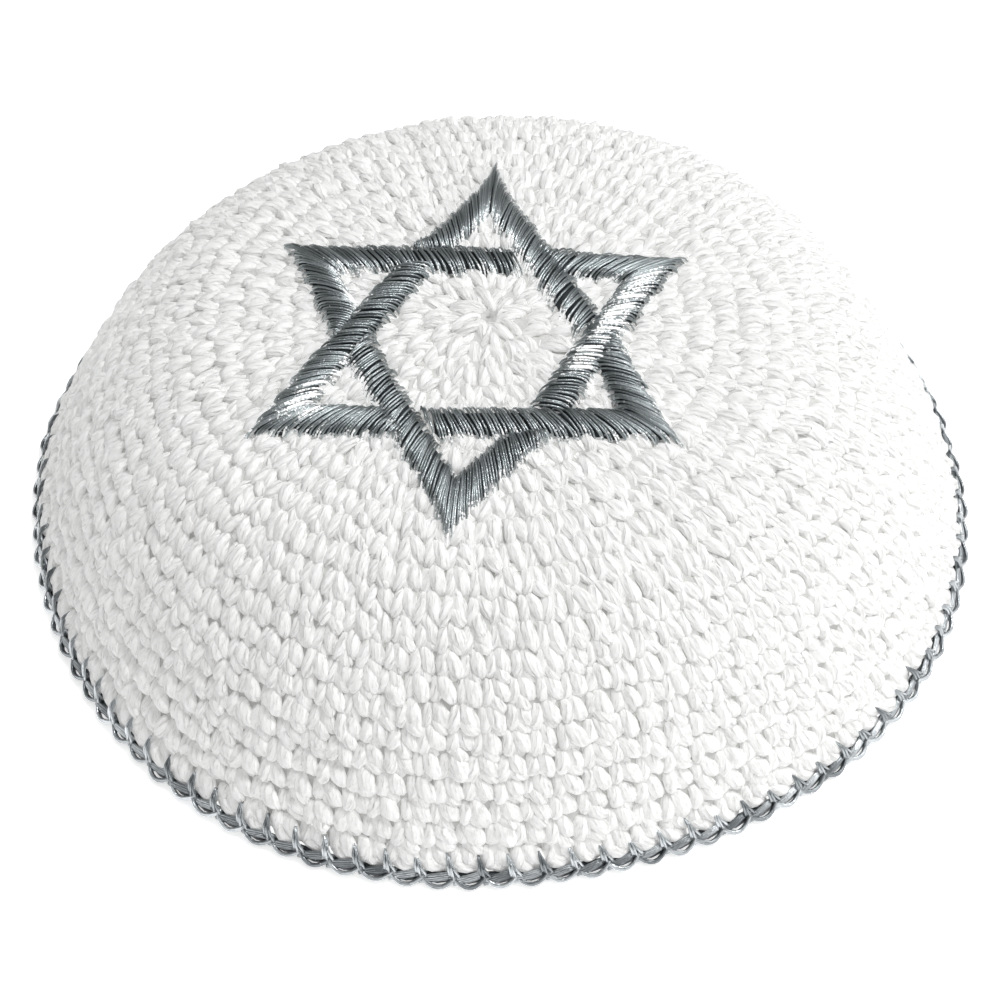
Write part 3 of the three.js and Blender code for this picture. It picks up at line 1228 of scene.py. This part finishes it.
    def trim(self, number: int, leg: int) -> tuple[np.ndarray, np.ndarray]:
        """Finds where a leg of strand number dives under the strand that crosses it.

        Args:
            number: The strand, counted from nought at the back tip.
            leg: 0 for the leg before the tip and 1 for the one after it.

        Returns:
            A place on the crossing strand's middle line, and the unit vector clear of it.
        """
        count = len(self.tips)
        over = number - 1 if leg == 0 else (number + 1) % count
        crossing = self.crossings[over]
        along = unit(self.crossings[(over + 1) % count] - self.tips[over])
        away = np.array([-along[1], along[0]])
        if away @ (self.tips[number] - crossing) < 0:
            away = -away
        return crossing, away

    def threads(self, number: int) -> Threads:
        """Lays the threads of strand number across its band, before the tip and after it."""
        outer, inner = self.edge(number, 1), self.edge(number, -1)
        random = np.random.default_rng(self.seed + number)
        laid = []
        for leg in (0, 1):
            outer_way = unit(outer[2 * leg] - outer[1])
            inner_way = unit(inner[2 * leg] - inner[1])
            length = np.linalg.norm(outer[2 * leg] - outer[1]) + 2 * self.band_width
            along = np.arange(leg * self.spacing / 2, length, self.spacing)
            along = along + random.uniform(-self.uneven, self.uneven, along.size) * self.spacing
            lag = self.sweep * (1 - np.exp(-along / self.sweep_reach))
            bunches = random.normal(0, self.bunching, int(length / self.bunch_length) + 2)
            bunch = np.interp(along / self.bunch_length, np.arange(bunches.size), bunches)
            behind = np.maximum(along - lag + bunch, 0)
            start = outer[1] + outer_way * along[:, None]
            end = inner[1] + inner_way * behind[:, None]
            way = unit(end - start)
            beyond = self.overshoot[number] * np.exp(-along / self.overshoot_reach)
            beyond = beyond + random.uniform(*self.ragged_range, len(start)) * self.ragged
            start = start - way * beyond[:, None]
            past = self.inner_reach + random.uniform(*self.ragged_range, len(end)) * self.ragged
            end = end + way * past[:, None]
            start, end, kept = self.cut(start, end, *self.trim(number, leg))
            laid.append((start[kept], end[kept], np.full(kept.sum(), leg), along[kept]))
        return Threads(*(np.concatenate(rows) for rows in zip(*laid)))

    def cut(
        self, start: np.ndarray, end: np.ndarray, crossing: np.ndarray, away: np.ndarray
    ) -> tuple[np.ndarray, np.ndarray, np.ndarray]:
        """Ends threads where they dive under the strand that crosses them.

        Args:
            start: Where each thread starts.
            end: Where each thread ends.
            crossing: A place on the crossing strand's middle line.
            away: The unit vector clear of it.

        Returns:
            The new starts and ends, and which of the threads are kept.
        """
        near, far = ((place - crossing) @ away - self.clear for place in (start, end))
        crosses = near * far < 0
        share = np.divide(near, near - far, out=np.zeros_like(near), where=crosses)
        meet = start + (end - start) * share[:, None]
        start = np.where((crosses & (near < 0))[:, None], meet, start)
        end = np.where((crosses & (far < 0))[:, None], meet, end)
        long = np.linalg.norm(end - start, axis=1) > self.shortest
        return start, end, ((near > 0) | (far > 0)) & long

    def shine(self, number: int, threads: Threads) -> tuple[np.ndarray, np.ndarray]:
        """Works out each thread's tone, lightened by painted glints, and its painted glint spots.

        Args:
            number: The strand, counted from nought at the back tip.
            threads: Its threads.

        Returns:
            A row of tones, partly painted glint, and a row of painted glint amounts, for each
            thread.
        """
        random = np.random.default_rng(self.seed + self.shine_seed + number)
        count = len(threads.start)
        covered = np.zeros((count, self.steps))
        for patch in self.patches:
            if patch.strand == number:
                covered = np.maximum(covered, patch.amounts(threads, self.share))
        outer_in_front = (threads.start[:, 1] < threads.end[:, 1])[:, None]
        in_front = np.where(outer_in_front, 1 - self.share, self.share)
        own = random.uniform(*self.tones, (count, 1))
        # painted glint where a thread bends down in front
        painted_bend_glint = np.clip(3 * in_front - 2, 0, 1) * random.uniform(0, 1, (count, 1))
        # painted glint in the glint patches
        painted_patch_glint = covered * random.uniform(*self.patch_range, (count, 1))
        tone = np.clip(own + painted_bend_glint + painted_patch_glint * self.patch_glint, 0, 1)
        return tone, np.maximum(painted_bend_glint, painted_patch_glint)

    def strand(self, number: int) -> Mesh:
        """Lays the threads of strand number over the dome, each as a chain of points."""
        threads = self.threads(number)
        start, end = threads.start, threads.end
        random = np.random.default_rng(self.seed + self.crest_seed + number)
        flat = start[:, None] + (end - start)[:, None] * self.share[None, :, None]
        crest = self.crest + random.uniform(-self.crest_spread, self.crest_spread, len(start))
        lift = self.dive + self.height[None, :] * (crest - self.dive)[:, None]
        points = self.form.over(flat[..., 0] + self.right, flat[..., 1] + self.back, lift)
        steps = np.arange(len(start) * self.steps).reshape(-1, self.steps)
        edges = np.stack([steps[:, :-1], steps[:, 1:]], axis=-1).reshape(-1, 2)
        tone, flecks = self.shine(number, threads)
        radius = self.thread * (1 - self.thinning + self.thinning * self.height) * MM
        values = {
            Attribute.TONE: tone.ravel(),
            Attribute.PAINTED_GLINTS: flecks.ravel(),
            Attribute.THICKNESS: np.tile(radius, len(start)),
            Attribute.HEADING: unit(np.gradient(points, axis=1)).reshape(-1, 3),
        }
        return point_mesh(f"star_strand_{number + 1}", points.reshape(-1, 3), values, edges)

    def padding(self, number: int) -> Mesh:
        """The underlay of strand number: a soft band below the threads, which fills their gaps."""
        outer, inner = (self.edge(number, side * self.pad_share) for side in (1, -1))
        before, after = self.pad_steps
        across = np.linspace(0, 1, self.pad_sides)
        places = (0, self.pad_shoulder, 1 - self.pad_shoulder, 1)
        over = np.interp(across, places, (self.pad_edge, self.pad_top, self.pad_top, self.pad_edge))
        lift = np.concatenate([over, np.full(self.pad_sides, self.pad_bottom)])
        rows = []
        for leg, shares in ((0, np.linspace(1, 0, before)), (1, np.linspace(0, 1, after)[1:])):
            crossing, away = self.trim(number, leg)
            for share in shares:
                left = outer[1] + (outer[2 * leg] - outer[1]) * share
                right = inner[1] + (inner[2 * leg] - inner[1]) * share
                if ((left + right) / 2 - crossing) @ away <= self.clear:
                    continue
                top = left + (right - left) * across[:, None]
                flat = np.vstack([top, top[::-1]]) + (self.right, self.back)
                rows.append(self.form.over(flat[:, 0], flat[:, 1], lift))
        return loft_mesh(f"star_padding_{number + 1}", np.array(rows), closed=False)

    def build(
        self, draw: ThreadsAlongPaths, thread: MetallicThread, padding: MetallicThread
    ) -> None:
        """Builds and dresses the star's strands."""
        # the padding's finish is dark as painted shade in the threads' gaps
        metal, dark = thread.build(), padding.build()
        kinks = {"Kink": self.kink * MM, "Kink size": self.kink_size * MM}
        sizes = {"Finish": metal, "Sides": self.sides, **kinks}
        for number in range(len(self.tips)):
            name = f"star_strand_{number + 1}"
            piece = draw.piece(name + "_threads", self.strand(number), sizes)
            settle_piece(piece, Slot.THREAD, name)
            pad = self.padding(number)
            pad.materials.append(dark)
            settle_piece(link_piece(name + "_padding", pad), Slot.THREAD, name)


@dataclass(frozen=True)
class Lamp:
    """A square lamp that faces the cap."""

    name: str
    direction: tuple[float, float, float]  # from the cap towards the lamp
    distance: float  # mm from the cap
    size: float  # mm along a side
    watts: float

    def hang(self) -> None:
        """Puts the lamp in the scene."""
        data = bpy.data.lights.new(self.name, "AREA")
        data.energy = self.watts
        data.size = self.size * MM
        lamp = bpy.data.objects.new(self.name, data)
        way = Vector(self.direction).normalized()
        turned = way.to_track_quat("Z", "Y").to_matrix().to_4x4()
        lamp.matrix_world = Matrix.Translation(way * self.distance * MM) @ turned
        bpy.context.scene.collection.objects.link(lamp)


@dataclass
class Studio:
    """The floor, the lights and the camera."""

    eye: tuple[float, float, float] = (0.5, -230.1, 294.6)
    aim: tuple[float, float, float] = (0.3, -2.4, 0.0)
    lens: float = 71.3
    nearest: float = 0.01  # that the camera sees, in metres
    floor_size: float = 40000.0
    sky: float = 0.27
    sky_colour: str = "ffffff"
    lamps: tuple[Lamp, ...] = (
        Lamp("overhead_key", (0.33, 0.02, 0.95), 900, 150, 3.0),
        Lamp("overhead_softbox", (0.2, 0.2, 0.96), 1200, 1100, 3.4),
        Lamp("right_fill", (1.0, -0.45, 0.6), 1100, 600, 2.4),
    )

    def floor(self, finish: PaleFloor) -> None:
        """Lays the floor."""
        half = self.floor_size / 2 * MM
        mesh = bpy.data.meshes.new("floor")
        corners = [(-half, -half, 0), (half, -half, 0), (half, half, 0), (-half, half, 0)]
        mesh.from_pydata(corners, [], [(0, 1, 2, 3)])
        mesh.materials.append(finish.build())
        link_piece("floor", mesh)

    def lights(self) -> None:
        """Lights the sky and hangs the lamps."""
        world = bpy.data.worlds.new("white_studio")
        world.use_nodes = True
        nodes = Nodes(world.node_tree)
        nodes.tree.nodes.clear()
        inputs = {"Color": linear(self.sky_colour), "Strength": self.sky}
        sky = nodes.add("ShaderNodeBackground", inputs=inputs)
        nodes.add("ShaderNodeOutputWorld", inputs={0: sky.outputs[0]})
        bpy.context.scene.world = world
        for lamp in self.lamps:
            lamp.hang()

    def camera(self) -> None:
        """Sets the camera at the photograph's angle."""
        data = bpy.data.cameras.new("camera")
        data.lens = self.lens
        data.clip_start = self.nearest
        camera = bpy.data.objects.new("camera", data)
        eye, aim = Vector(self.eye) * MM, Vector(self.aim) * MM
        turned = (aim - eye).to_track_quat("-Z", "Y").to_matrix().to_4x4()
        camera.matrix_world = Matrix.Translation(eye) @ turned
        bpy.context.scene.collection.objects.link(camera)
        bpy.context.scene.camera = camera

    def build(self, finish: PaleFloor) -> None:
        """Builds the studio, and shows the picture's whites as they are."""
        self.camera()
        self.floor(finish)
        self.lights()
        bpy.context.scene.view_settings.view_transform = "Standard"


def main() -> None:
    """Builds the cap and its studio, and notes how large the dressed cap is."""
    logging.basicConfig(level=logging.INFO, format="%(name)s: %(message)s")
    form = CapForm()
    Studio().build(PaleFloor())
    repeat = RepeatOnCloth("repeat_on_cloth")
    Crown(form).build(repeat, CottonYarn(), CottonGround())
    Edging(form).build(
        repeat,
        MetallicThread("crocheted_lurex", "7d8387", "d6dbde", 0.28, 1.0),
        # painted shade for the threads inside the edging
        MetallicThread("lurex_inside_edging", "505457", "65696c", 0.5),
    )
    Star(form).build(
        ThreadsAlongPaths("threads_along_paths"),
        MetallicThread("satin_lurex", "7a8284", "d6dee0", 0.4, 0.9, 0.7),
        # painted shade between the star's threads
        MetallicThread("lurex_underlay", "4b5053", "5a5f62", 0.6),
    )


if __name__ == "__main__":
    main()
